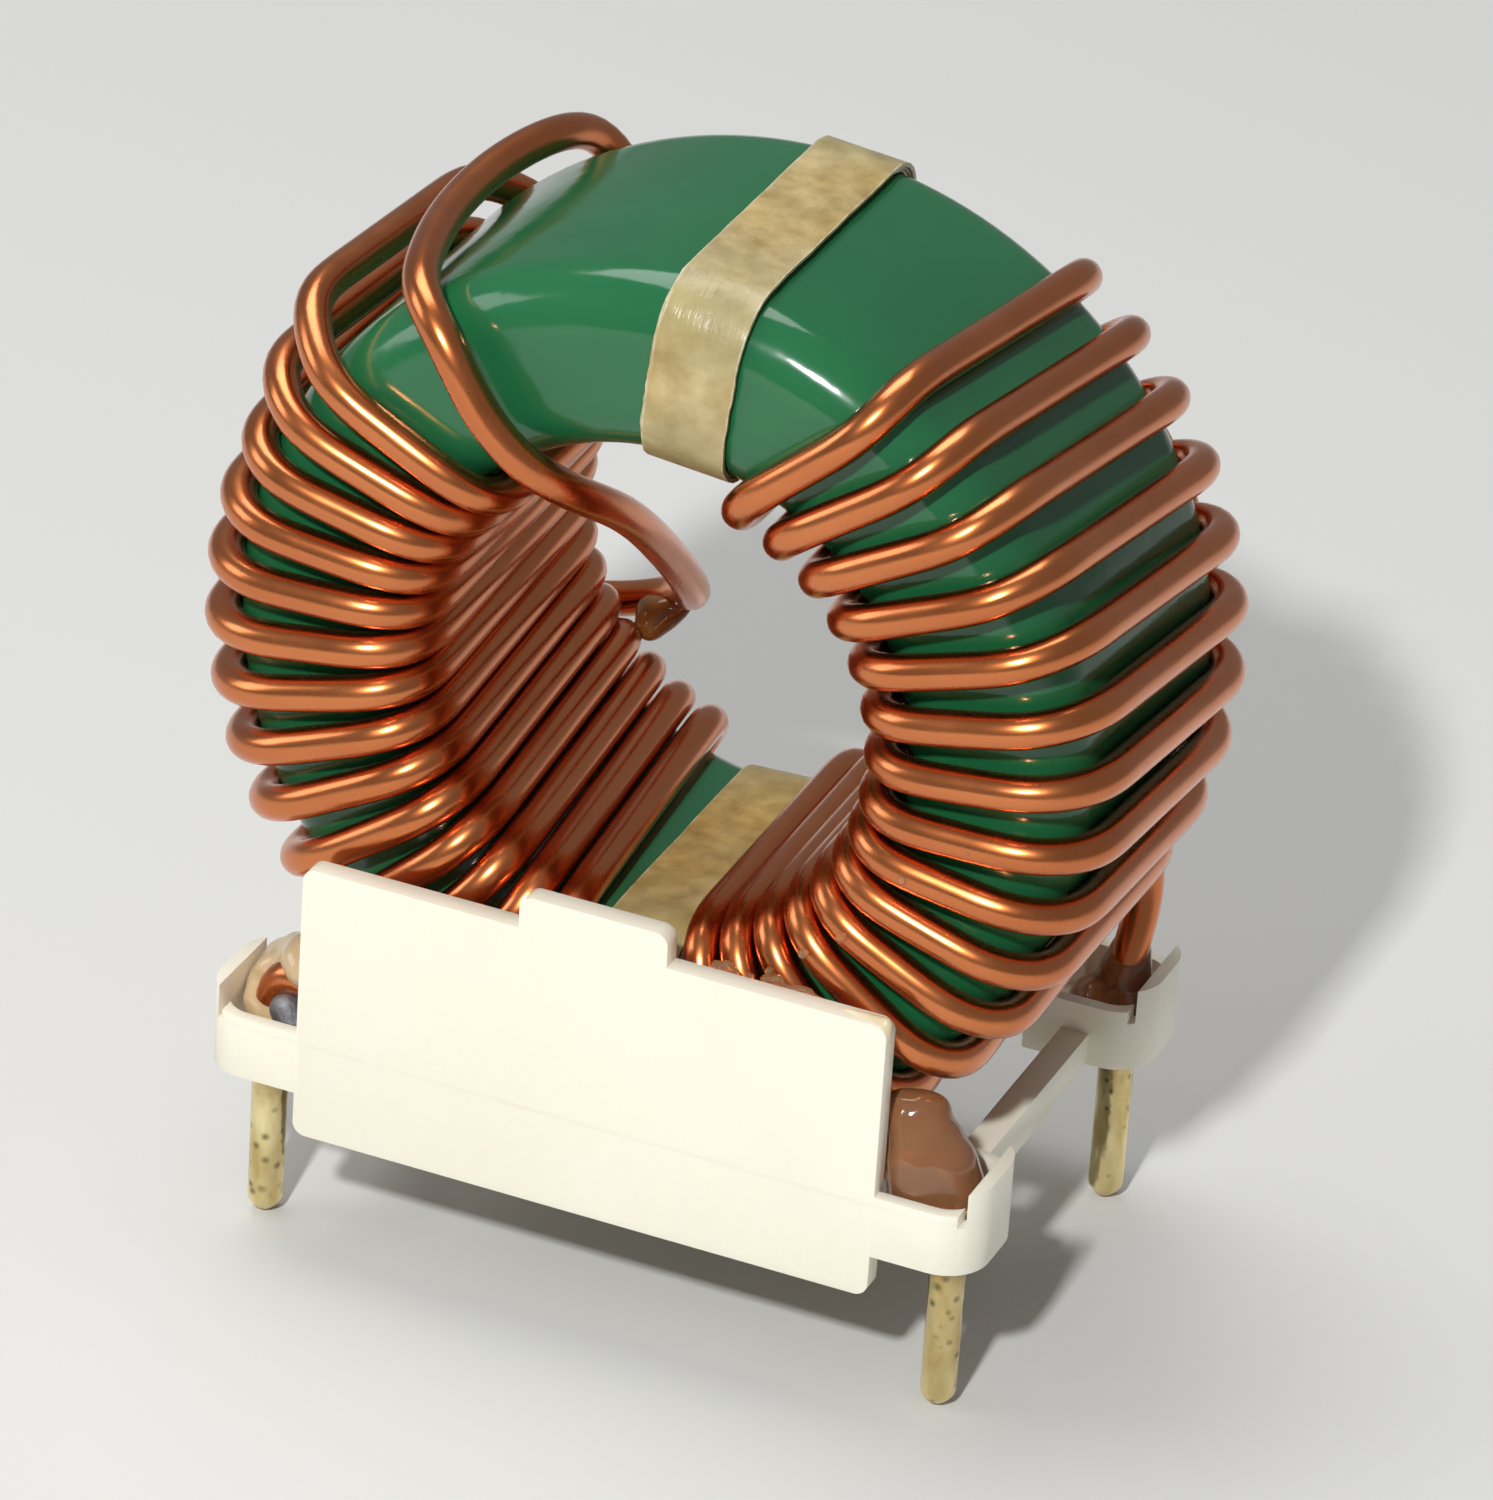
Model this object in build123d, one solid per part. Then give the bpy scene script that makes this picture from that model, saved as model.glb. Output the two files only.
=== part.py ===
from build123d import *
import math
import os

# A ring-core choke that stands upright in a moulded base frame.
# Millimetres. +Z is up and the front plate faces -Y. The origin is the centre of the
# four-pin pattern, at the height of the seating plane (the lower edges of the two plates).
# Angles go round the ring's axis, which runs along Y: 0 is +X and 90 is the top.

os.makedirs("parts", exist_ok=True)

# Ring core, with its coat
core_outer_diameter = 38.7
core_bore_diameter = 22.4
core_width = 17.8
core_edge_bevel = 1.5

# Separator tape bands, one at the top of the ring and one at the bottom
tape_width = 3.7
tape_build_up = 0.5
tape_top_angle = 84.6
tape_bottom_angle = -87.4

# Winding wire, and how far short of a square corner its bends begin. The round wire is drawn
# with flat sides, few enough to keep the long coils light
wire_diameter = 1.6
wire_sides = 12
wire_to_core_gap = 0.05
wire_crossing_gap = 0.1
bore_bend_setback = 1.45
outer_bend_setback = 1.9

# Left winding, counted from the lowest turn: angles in degrees
left_turns = 14
left_bore_start_angle = 256.0
left_bore_pitch_angle = -9.4
left_face_start_angle = 251.0
left_face_pitch_angle = -8.45
left_bore_slant_angle = -7.0
left_tight_turns = 12
left_lift_step = 0.9

# Right winding, counted from the lowest turn: close turns below, open turns above
right_close_turns = 7
right_open_turns = 7
right_bore_start_angle = -71.7
right_close_pitch_angle = 9.1
right_open_pitch_angle = 11.1
right_face_start_angle = -69.0
right_face_pitch_angle = 9.15
right_bore_slant_angle = -1.0
right_outer_slant_angle = -6.0

# Terminal pins: the stripped and tinned ends of the two wires
pin_spacing_x = 31.75
pin_behind_plate_face = 2.875
pin_length_below_seat = 6.1
pin_top_height = 4.0
pin_tin_stop_below_ear = 0.3
enamel_thickness = 0.04
pin_point_length = 0.8
pin_point_diameter = 0.6

# Base frame
ring_clearance_below = 1.8
plate_clearance = 0.85
plate_edge_to_pin = 2.475
plate_height = 13.1
rear_plate_height = 6.4
lead_out_height = 13.1
plate_thickness = 1.0
plate_corner_radius = 0.6
tab_width = 6.8
tab_height = 1.55
ear_outer_reach = 2.1
ear_root_overlap = 0.925
ear_side_reach = 2.9
ear_corner_radius = 2.0
ear_underside_height = 2.0
ear_floor_thickness = 0.8
ear_wall_thickness = 0.6
ear_rim_height = 4.9
ear_outer_wall_height = 5.9
ear_outer_wall_corner = 0.7
ear_slit_width = 0.3
ear_slit_depth = 0.6
pin_hole_clearance = 0.03
rail_inset = 2.475
rail_thickness = 1.3
rail_height = 1.5
rail_step_length = 5.2
rail_step_depth = 0.3

# Adhesive
adhesive_pool_depth = 1.6
adhesive_hump_height = 2.9
adhesive_hump_inset = 1.2
adhesive_setback = 0.3
adhesive_clearance = 0.01
dab_width = 2.8

# Sizes that follow from those above
core_outer_radius = core_outer_diameter / 2
core_bore_radius = core_bore_diameter / 2
wire_radius = wire_diameter / 2
wire_offset = wire_radius + wire_to_core_gap
strand_outer_radius = core_outer_radius + wire_offset
strand_bore_radius = core_bore_radius - wire_offset
strand_face_y = core_width / 2 + wire_offset
coil_radius = strand_outer_radius + wire_radius
core_centre_height = coil_radius + ring_clearance_below
crossing_y = strand_face_y + wire_diameter + wire_crossing_gap
plate_inner_y = strand_face_y + wire_radius + plate_clearance
plate_outer_y = plate_inner_y + plate_thickness
pin_x = pin_spacing_x / 2
pin_y = plate_outer_y - pin_behind_plate_face
plate_edge_x = pin_x - plate_edge_to_pin
ear_outer_x = pin_x + ear_outer_reach
ear_inner_x = plate_edge_x - ear_root_overlap
ear_inner_y = pin_y - ear_side_reach
ear_floor_top = ear_underside_height + ear_floor_thickness


def on_ring(angle, radius, y):
    """A point at an angle round the ring's axis and a radius from it."""
    turn = math.radians(angle)
    return Vector(radius * math.cos(turn), y, core_centre_height + radius * math.sin(turn))


def ring_section(build_up, bevel):
    """The ring's section, with a build-up added all round and its corners bevelled."""
    wall = core_outer_radius - core_bore_radius
    middle = core_bore_radius + wall / 2
    section = Pos(middle, 0) * Rectangle(wall + 2 * build_up, core_width + 2 * build_up)
    return chamfer(section.vertices(), bevel)


def ring_core():
    """The pressed ring with its coat: the section turned about the ring's axis."""
    centre = (0, 0, core_centre_height)
    section_plane = Plane(origin=centre, x_dir=(1, 0, 0), z_dir=(0, 0, 1))
    return revolve(section_plane * ring_section(0, core_edge_bevel), Axis(centre, (0, 1, 0)), 360)


def separator_tape(angle, core):
    """Glass-cloth tape wound round the ring's section, tight on the coat."""
    outward = on_ring(angle, 1, 0) - on_ring(angle, 0, 0)
    centre = (0, 0, core_centre_height)
    section_plane = Plane(origin=centre, x_dir=outward, z_dir=outward.cross(Vector(0, 1, 0)))
    section = section_plane * ring_section(tape_build_up, core_edge_bevel + tape_build_up / 2)
    return extrude(section, tape_width / 2, both=True) - core


def turn_points(face_front, bore_front, bore_rear, face_rear, lift=0.0):
    """One turn round the section, each of its four bends cut across by two points."""
    outer = strand_outer_radius + lift
    bore = strand_bore_radius
    face = strand_face_y
    return [
        on_ring(face_front, outer, outer_bend_setback - face),
        on_ring(face_front, outer - outer_bend_setback, -face),
        on_ring(bore_front, bore + bore_bend_setback, -face),
        on_ring(bore_front, bore, bore_bend_setback - face),
        on_ring(bore_rear, bore, face - bore_bend_setback),
        on_ring(bore_rear, bore + bore_bend_setback, face),
        on_ring(face_rear, outer - outer_bend_setback, face),
        on_ring(face_rear, outer, face - outer_bend_setback),
    ]


def front_lead_in(side, face_angle):
    """From the front pin out of its ear and under the turns to the first front strand."""
    under = coil_radius + wire_radius
    ear_angle = face_angle + side * 16
    middle_angle = face_angle + side * 5.3
    return [
        Vector(side * pin_x, -pin_y, pin_top_height),
        Vector(side * pin_x, -pin_y, pin_top_height + wire_diameter),
        Vector(side * (pin_x - 0.75 * wire_diameter), -strand_face_y, pin_top_height + 1.6 * wire_diameter),
        on_ring(ear_angle, under, -strand_face_y),
        on_ring(middle_angle, under, -strand_face_y),
        on_ring(face_angle, under - wire_radius / 2, -strand_face_y),
    ]


def rear_lead_out(side):
    """Down the rear of the ring, outside the rear plate, into the rear ear and to the rear pin."""
    shoulder = lead_out_height - 0.45 * wire_diameter
    return [
        Vector(side * (pin_x - 0.3 * wire_diameter), crossing_y, shoulder),
        Vector(side * pin_x, crossing_y, shoulder - 2.4 * wire_diameter),
        Vector(side * pin_x, pin_y, pin_top_height + 0.9 * wire_diameter),
        Vector(side * pin_x, pin_y, pin_top_height),
    ]


def loose_turn():
    """The last left turn: it stands off the ring, slants over the bore and goes out at the rear."""
    # Places chosen from the real wire, in wire thicknesses from the close turns' own places
    thick = wire_diameter
    outer = strand_outer_radius
    bore = strand_bore_radius
    face = strand_face_y
    return [
        on_ring(124.5, outer - 1.25 * thick, face + 0.1 * thick),
        on_ring(124.6, outer - 0.4 * thick, face - 0.2 * thick),
        on_ring(124.2, outer + 0.4 * thick, 0.67 * face),
        on_ring(126.1, outer + 0.75 * thick, 0.26 * face),
        on_ring(126.8, outer + 0.7 * thick, -0.15 * face),
        on_ring(125.5, outer + 0.4 * thick, -0.56 * face),
        on_ring(123.1, outer - 0.2 * thick, 0.5 * thick - face),
        on_ring(120.4, outer - 1.4 * thick, -0.35 * thick - face),
        on_ring(119.9, bore + 2.7 * thick, -0.4 * thick - face),
        on_ring(117.2, bore + 1.05 * thick, -0.2 * thick - face),
        on_ring(114.3, bore - 0.25 * thick, 0.8 * thick - face),
        on_ring(116.6, 0.69 * bore, -0.46 * face),
        on_ring(161.6, 0.37 * bore, 0.21 * face),
        on_ring(217.1, 0.59 * bore, 0.82 * face),
        on_ring(219.7, 0.82 * bore, crossing_y - 0.45 * thick),
        on_ring(216.6, bore + 0.75 * thick, crossing_y),
        Vector(0.4 * thick - plate_edge_x, crossing_y, lead_out_height + 1.15 * thick),
    ]


def left_route():
    """The left wire, from the front pin up the ring, through the bore and down to the rear pin."""
    route = front_lead_in(-1, left_face_start_angle)
    for turn in range(left_turns):
        face_front = left_face_start_angle + turn * left_face_pitch_angle
        bore_front = left_bore_start_angle + turn * left_bore_pitch_angle
        bore_rear = bore_front + left_bore_slant_angle
        face_rear = (bore_rear + face_front + left_face_pitch_angle) / 2
        lift = left_lift_step * max(turn - left_tight_turns + 1, 0)
        corners = turn_points(face_front, bore_front, bore_rear, face_rear, lift)
        if turn == 0:
            corners = corners[2:]
        route += corners
    return route[:-2] + loose_turn() + rear_lead_out(-1)


def right_bore_angle(turn):
    """Close turns at the bottom of the bore, open turns above them."""
    close = min(turn, right_close_turns)
    return right_bore_start_angle + close * right_close_pitch_angle + (turn - close) * right_open_pitch_angle


def right_rear_run():
    """The last right strand comes out over the rear strands and follows the ring down."""
    thick = wire_diameter
    outer = strand_outer_radius
    bore = strand_bore_radius
    return [
        on_ring(64.5, bore + 1.9 * thick, crossing_y - 0.45 * thick),
        on_ring(57, bore + 2.75 * thick, crossing_y),
        on_ring(38, outer - 2.9 * thick, crossing_y),
        on_ring(18, outer - 2.4 * thick, crossing_y),
        on_ring(0, outer - 2 * thick, crossing_y),
        on_ring(-17, outer - 1.6 * thick, crossing_y),
    ]


def right_route():
    """The right wire, from the front pin up the ring and down its rear face to the rear pin."""
    route = front_lead_in(1, right_face_start_angle)
    for turn in range(right_close_turns + right_open_turns + 1):
        face_front = right_face_start_angle + turn * right_face_pitch_angle
        bore_front = right_bore_angle(turn)
        bore_rear = bore_front + right_bore_slant_angle
        face_rear = face_front + right_face_pitch_angle + right_outer_slant_angle
        corners = turn_points(face_front, bore_front, bore_rear, face_rear)
        if turn == 0:
            corners = corners[2:]
        route += corners
    return route[:-2] + right_rear_run() + rear_lead_out(1)


def wire_along(route):
    """Wire of one thickness along a route, with mitred joints at its points."""
    path = Polyline(*route)
    section = Plane(origin=path @ 0, z_dir=path % 0) * RegularPolygon(wire_radius, wire_sides)
    return sweep(section, path=path, transition=Transition.RIGHT)


def terminal_pin(side, end):
    """A round tinned pin with a cone at its tip, stripped of its enamel where it enters the ear."""
    tin_top = ear_underside_height - pin_tin_stop_below_ear
    bare_length = pin_top_height - tin_top
    tinned_length = tin_top + pin_length_below_seat - pin_point_length
    place = Pos(side * pin_x, end * pin_y)
    bare = Pos(0, 0, tin_top + bare_length / 2) * Cylinder(wire_radius - enamel_thickness, bare_length)
    tinned = Pos(0, 0, tin_top - tinned_length / 2) * Cylinder(wire_radius, tinned_length)
    point = Pos(0, 0, pin_point_length / 2 - pin_length_below_seat) * Cone(
        pin_point_diameter / 2, wire_radius, pin_point_length
    )
    return place * (bare + tinned + point)


def plate_outline(height):
    """A plate seen from the front: its lower edge is on the seating plane."""
    return Pos(0, height / 2) * RectangleRounded(2 * plate_edge_x, height, plate_corner_radius)


def upright_plate(end, outline):
    """The front or rear plate: a thin upright sheet of the outline given."""
    inner_face = Plane(origin=(0, end * plate_inner_y, 0), x_dir=(1, 0, 0), z_dir=(0, -1, 0))
    return extrude(inner_face * outline, -end * plate_thickness)


def front_plate():
    """The tall front plate, with a raised tab at its middle."""
    tab = Pos(0, plate_height) * RectangleRounded(tab_width, 2 * tab_height, plate_corner_radius)
    return upright_plate(-1, plate_outline(plate_height) + tab)


def rear_plate():
    """The low rear plate, which leaves the ring's bore open to view."""
    return upright_plate(1, plate_outline(rear_plate_height))


def ear_plan(inset):
    """Plan of the ear at +X +Y, drawn in by an inset: square inboard and round outboard."""
    width = ear_outer_x - ear_inner_x - inset
    depth = plate_outer_y - ear_inner_y - 2 * inset
    middle_y = (plate_outer_y + ear_inner_y) / 2
    plan = Pos(ear_inner_x + width / 2, middle_y) * Rectangle(width, depth)
    outboard = plan.vertices().group_by(Axis.X)[-1]
    return fillet(outboard, ear_corner_radius - inset)


def ear_outer_wall():
    """The taller wall on the ear's outer side, with rounded upper corners."""
    base = ear_floor_top - ear_floor_thickness / 2
    height = ear_outer_wall_height - base
    ring = Pos(0, 0, base) * extrude(ear_plan(0) - ear_plan(ear_wall_thickness), height)
    slit_x = ear_outer_x - ear_wall_thickness
    middle_y = (plate_outer_y + ear_inner_y) / 2
    window_width = 2 * (plate_outer_y - middle_y)
    window = Rectangle(window_width, height)
    window = fillet(window.vertices().group_by(Axis.Y)[-1], ear_outer_wall_corner)
    window_plane = Plane(origin=(slit_x, middle_y, base + height / 2), x_dir=(0, 1, 0), z_dir=(1, 0, 0))
    return ring & extrude(window_plane * window, ear_wall_thickness)


def frame_ear():
    """The ear at +X +Y: an open-topped cup round the pin, open towards the ring."""
    block = Pos(0, 0, ear_underside_height) * extrude(ear_plan(0), ear_rim_height - ear_underside_height)
    hollow_plan = ear_plan(ear_wall_thickness)
    hollow = Pos(0, 0, ear_floor_top) * extrude(hollow_plan, ear_rim_height - ear_floor_top)
    slit_depth_y = plate_outer_y - ear_inner_y
    slit = Pos(
        ear_outer_x - ear_wall_thickness - ear_slit_width / 2,
        (plate_outer_y + ear_inner_y) / 2,
        ear_rim_height - ear_slit_depth / 2,
    ) * Box(ear_slit_width, slit_depth_y, ear_slit_depth)
    hole = Pos(pin_x, pin_y, ear_underside_height + ear_floor_thickness / 2) * Cylinder(
        wire_radius + pin_hole_clearance, ear_floor_thickness
    )
    return block - hollow - slit - hole + ear_outer_wall()


def side_rail(side):
    """The rail that joins the two ears of one side, with a deeper middle."""
    middle_x = side * (ear_outer_x - rail_inset - rail_thickness / 2)
    length = 2 * (ear_inner_y + ear_wall_thickness)
    rail = Pos(middle_x, 0, ear_underside_height + rail_height / 2) * Box(rail_thickness, length, rail_height)
    step_height = rail_height / 2 + rail_step_depth
    step = Pos(middle_x, 0, ear_underside_height - rail_step_depth + step_height / 2) * Box(
        rail_thickness, rail_step_length, step_height
    )
    return rail + step


def base_frame():
    """The moulded frame: two plates, four ears and two rails in one piece."""
    ear = frame_ear()
    ears = ear + mirror(ear, about=Plane.XZ)
    ears += mirror(ears, about=Plane.YZ)
    return ears + front_plate() + rear_plate() + side_rail(-1) + side_rail(1)


def pool_plan(inset):
    """Plan of the adhesive in the ear at +X +Y, drawn in by an inset on every side."""
    gap = ear_wall_thickness + adhesive_clearance + inset
    inboard = plate_edge_x + adhesive_setback + inset
    outboard = ear_outer_x - gap
    width = outboard - inboard
    depth = plate_outer_y - ear_inner_y - 2 * gap
    middle_y = (plate_outer_y + ear_inner_y) / 2
    plan = Pos(inboard + width / 2, middle_y) * Rectangle(width, depth)
    return chamfer(plan.vertices().group_by(Axis.X)[-1], depth / 3.5)


def ear_adhesive(side, end, wire, pin):
    """Adhesive that pools in an ear and humps up round the wire as it leaves."""
    pool_base = ear_floor_top + adhesive_clearance
    pool_top = pool_base + adhesive_pool_depth
    pool = Pos(0, 0, pool_base) * extrude(pool_plan(0), adhesive_pool_depth)
    foot = Pos(0, 0, pool_top) * pool_plan(0)
    crown = Pos(0, 0, pool_top + adhesive_hump_height) * pool_plan(adhesive_hump_inset)
    blob = pool + loft([foot, crown])
    if side < 0:
        blob = mirror(blob, about=Plane.YZ)
    if end < 0:
        blob = mirror(blob, about=Plane.XZ)
    coil = Plane(origin=(0, 0, core_centre_height), z_dir=(0, 1, 0)) * Cylinder(
        coil_radius + adhesive_clearance, 4 * plate_outer_y
    )
    return blob - coil - wire - pin


def bore_dab(wire):
    """A dab of adhesive that holds the loose turn to the turns it passes, at the bore's rear."""
    lump = chamfer(Box(dab_width, dab_width, dab_width).edges(), dab_width / 4)
    middle = on_ring(218, strand_bore_radius - 0.6 * wire_diameter, strand_face_y + wire_radius / 4)
    return Pos(middle) * Rotation(20, 37, 0) * lump - wire


core = ring_core()
export_step(core, "parts/core.step")
export_step(separator_tape(tape_top_angle, core), "parts/separator_tape_top.step")
export_step(separator_tape(tape_bottom_angle, core), "parts/separator_tape_bottom.step")

winding_left = wire_along(left_route())
winding_right = wire_along(right_route())
export_step(winding_left, "parts/winding_left.step")
export_step(winding_right, "parts/winding_right.step")
export_step(bore_dab(winding_left), "parts/bore_adhesive_dab.step")

export_step(base_frame(), "parts/base_frame.step")

for end, end_name in ((-1, "front"), (1, "rear")):
    for side, side_name in ((-1, "left"), (1, "right")):
        place = end_name + "_" + side_name
        pin = terminal_pin(side, end)
        export_step(pin, "parts/pin_" + place + ".step")
        winding = winding_left if side < 0 else winding_right
        adhesive = ear_adhesive(side, end, winding, pin)
        export_step(adhesive, "parts/adhesive_" + place + ".step")
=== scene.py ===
import math
import random

import bmesh
import bpy
from mathutils import Matrix, Vector


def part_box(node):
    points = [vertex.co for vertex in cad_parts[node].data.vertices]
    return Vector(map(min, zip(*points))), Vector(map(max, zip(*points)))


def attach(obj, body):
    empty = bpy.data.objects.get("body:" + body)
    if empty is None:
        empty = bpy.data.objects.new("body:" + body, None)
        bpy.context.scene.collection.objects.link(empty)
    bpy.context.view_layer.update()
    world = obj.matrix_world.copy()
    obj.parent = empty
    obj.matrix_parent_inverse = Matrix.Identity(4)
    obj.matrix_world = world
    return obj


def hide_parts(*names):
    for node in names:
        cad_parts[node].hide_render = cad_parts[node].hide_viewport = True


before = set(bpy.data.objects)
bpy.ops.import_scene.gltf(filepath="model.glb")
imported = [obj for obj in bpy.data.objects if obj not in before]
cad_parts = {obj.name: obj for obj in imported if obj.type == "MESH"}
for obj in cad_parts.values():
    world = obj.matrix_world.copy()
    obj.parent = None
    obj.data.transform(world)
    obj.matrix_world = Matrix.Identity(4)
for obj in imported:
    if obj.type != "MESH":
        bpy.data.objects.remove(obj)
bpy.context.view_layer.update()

# Floor, light and camera. A plain pale sheet of card lies under the four pin tips, lit by soft
# lamps above and beside it. The lens looks down on the front plate from its right.
collection = bpy.context.scene.collection
floor_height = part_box("pin_front_left")[0].z
floor_half_width = 2.0
floor_colour = (0.66, 0.66, 0.64, 1)
floor_roughness = 0.9
studio_grey = (0.24, 0.245, 0.25, 1)
floor_mesh = bpy.data.meshes.new("floor")
floor_signs = ((-1, -1), (1, -1), (1, 1), (-1, 1))
floor_corners = [(x * floor_half_width, y * floor_half_width, floor_height) for x, y in floor_signs]
floor_mesh.from_pydata(floor_corners, [], [(0, 1, 2, 3)])
floor = bpy.data.objects.new("floor", floor_mesh)
collection.objects.link(floor)
floor_card = bpy.data.materials.new("pale_card")
floor_card.use_nodes = True
floor_shader = floor_card.node_tree.nodes["Principled BSDF"]
floor_shader.inputs["Base Color"].default_value = floor_colour
floor_shader.inputs["Roughness"].default_value = floor_roughness
floor_mesh.materials.append(floor_card)

world = bpy.data.worlds.new("studio")
world.use_nodes = True
world.node_tree.nodes["Background"].inputs["Color"].default_value = studio_grey
bpy.context.scene.world = world


def studio_lamp(name, place, aim, size, power):
    """A square soft lamp, turned from its place towards a point."""
    lamp = bpy.data.lights.new(name, "AREA")
    lamp.shape = "SQUARE"
    lamp.size = size
    lamp.energy = power
    holder = bpy.data.objects.new(name, lamp)
    holder.location = place
    holder.rotation_euler = (Vector(aim) - Vector(place)).to_track_quat("-Z", "Y").to_euler()
    collection.objects.link(holder)


coil_middle = (0, 0, 0.022)
studio_lamp("flash", (0.05, -0.42, 0.38), coil_middle, size=0.03, power=2.5)
studio_lamp("ceiling", (-0.15, 0.12, 0.55), coil_middle, size=0.35, power=1.45)
studio_lamp("left_fill", (-0.50, -0.20, 0.25), coil_middle, size=0.25, power=0.5)

camera = bpy.data.cameras.new("camera")
camera.lens = 235.87
camera.shift_x = 0.0225
camera.shift_y = 0.0376
camera.clip_start = 0.01
camera_holder = bpy.data.objects.new("camera", camera)
camera_place = Vector((0.136988, -0.338615, 0.220578))
camera_azimuth = math.radians(22.03)
camera_elevation = math.radians(29.52)
camera_roll = math.radians(3.84)
back = Vector((
    math.sin(camera_azimuth) * math.cos(camera_elevation),
    -math.cos(camera_azimuth) * math.cos(camera_elevation),
    math.sin(camera_elevation),
))
right = Vector((0, 0, 1)).cross(back).normalized()
up = back.cross(right)
turned_right = math.cos(camera_roll) * right + math.sin(camera_roll) * up
turned_up = math.cos(camera_roll) * up - math.sin(camera_roll) * right
camera_axes = Matrix((turned_right, turned_up, back)).transposed()
camera_holder.matrix_world = Matrix.Translation(camera_place) @ camera_axes.to_4x4()
collection.objects.link(camera_holder)
bpy.context.scene.camera = camera_holder
bpy.context.scene.view_settings.view_transform = "Standard"

# Ring core. A pressed ring with rounded shoulders, dipped in green epoxy, which sets glossy, with
# slow waves and a faint orange peel. It is turned from one section, and its windings carry it.
core_low, core_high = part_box("core")
core_radius = (core_high.z - core_low.z) / 2
core_bore_radius = 0.0112
core_half_width = (core_high.y - core_low.y) / 2
core_shoulder_radius = 0.0026
core_shoulder_steps = 8
core_steps = 160
core_centre_height = (core_high.z + core_low.z) / 2
core_dark_green = (0.010, 0.112, 0.040, 1)
core_light_green = (0.016, 0.142, 0.052, 1)


def on_ring(angle, radius, y):
    """A point at an angle in degrees round the ring's axis and a radius from it."""
    turn = math.radians(angle)
    return Vector((radius * math.cos(turn), y, core_centre_height + radius * math.sin(turn)))


def link_piece(name, mesh, material, nodes=()):
    """A finished mesh becomes a piece that rides with the part and may stand for CAD nodes."""
    piece = bpy.data.objects.new(name, mesh)
    collection.objects.link(piece)
    mesh.materials.clear()
    mesh.materials.append(material)
    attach(piece, "root")
    if nodes:
        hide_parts(*nodes)
    return piece


def rounded_section(outset, shoulder, steps, flat_steps=1):
    """The ring's section as (radius, y) points, drawn out by an outset, with round shoulders."""
    outer = core_radius + outset
    inner = core_bore_radius - outset
    half = core_half_width + outset
    corners = (
        (outer - shoulder, half - shoulder, 0),
        (inner + shoulder, half - shoulder, 90),
        (inner + shoulder, shoulder - half, 180),
        (outer - shoulder, shoulder - half, 270),
    )
    points = []
    for radius, y, start in corners:
        for step in range(steps + 1):
            angle = math.radians(start + 90 * step / steps)
            points.append((radius + shoulder * math.cos(angle), y + shoulder * math.sin(angle)))
    divided = []
    for place, (radius, y) in enumerate(points):
        divided.append((radius, y))
        after = points[(place + 1) % len(points)]
        if place % (steps + 1) == steps:
            for step in range(1, flat_steps):
                part = step / flat_steps
                divided.append((radius + (after[0] - radius) * part, y + (after[1] - y) * part))
    return divided


def turned_mesh(name, section, rings):
    """A closed skin over copies of one section, turned about the ring's axis."""
    mesh = bpy.data.meshes.new(name)
    count = len(section)
    points = [on_ring(360 * ring / rings, radius, y) for ring in range(rings) for radius, y in section]
    faces = []
    for ring in range(rings):
        here = ring * count
        following = (ring + 1) % rings * count
        for step in range(count):
            beside = (step + 1) % count
            faces.append((here + step, here + beside, following + beside, following + step))
    mesh.from_pydata(points, [], faces)
    skin = bmesh.new()
    skin.from_mesh(mesh)
    bmesh.ops.remove_doubles(skin, verts=skin.verts, dist=1e-7)
    bmesh.ops.recalc_face_normals(skin, faces=skin.faces)
    skin.to_mesh(mesh)
    skin.free()
    mesh.shade_smooth()
    return mesh


def value_group(name, inputs, outputs):
    """An empty shader group with named sockets."""
    group = bpy.data.node_groups.new(name, "ShaderNodeTree")
    for socket, kind, value in inputs:
        made = group.interface.new_socket(socket, in_out="INPUT", socket_type=kind)
        if value is not None:
            made.default_value = value
    for socket, kind in outputs:
        group.interface.new_socket(socket, in_out="OUTPUT", socket_type=kind)
    return group


def mottle_group():
    """Soft patches: a noise stretched between a low and a high value."""
    group = value_group(
        "mottle",
        (
            ("Vector", "NodeSocketVector", None),
            ("Scale", "NodeSocketFloat", 100.0),
            ("Detail", "NodeSocketFloat", 3.0),
            ("Low", "NodeSocketFloat", 0.0),
            ("High", "NodeSocketFloat", 1.0),
        ),
        (("Value", "NodeSocketFloat"),),
    )
    entry = group.nodes.new("NodeGroupInput")
    leave = group.nodes.new("NodeGroupOutput")
    noise = group.nodes.new("ShaderNodeTexNoise")
    spread = group.nodes.new("ShaderNodeMapRange")
    spread.inputs["From Min"].default_value = 0.3
    spread.inputs["From Max"].default_value = 0.7
    for socket in ("Vector", "Scale", "Detail"):
        group.links.new(entry.outputs[socket], noise.inputs[socket])
    group.links.new(noise.outputs["Fac"], spread.inputs["Value"])
    group.links.new(entry.outputs["Low"], spread.inputs["To Min"])
    group.links.new(entry.outputs["High"], spread.inputs["To Max"])
    group.links.new(spread.outputs["Result"], leave.inputs["Value"])
    return group


mottle = mottle_group()


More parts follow.
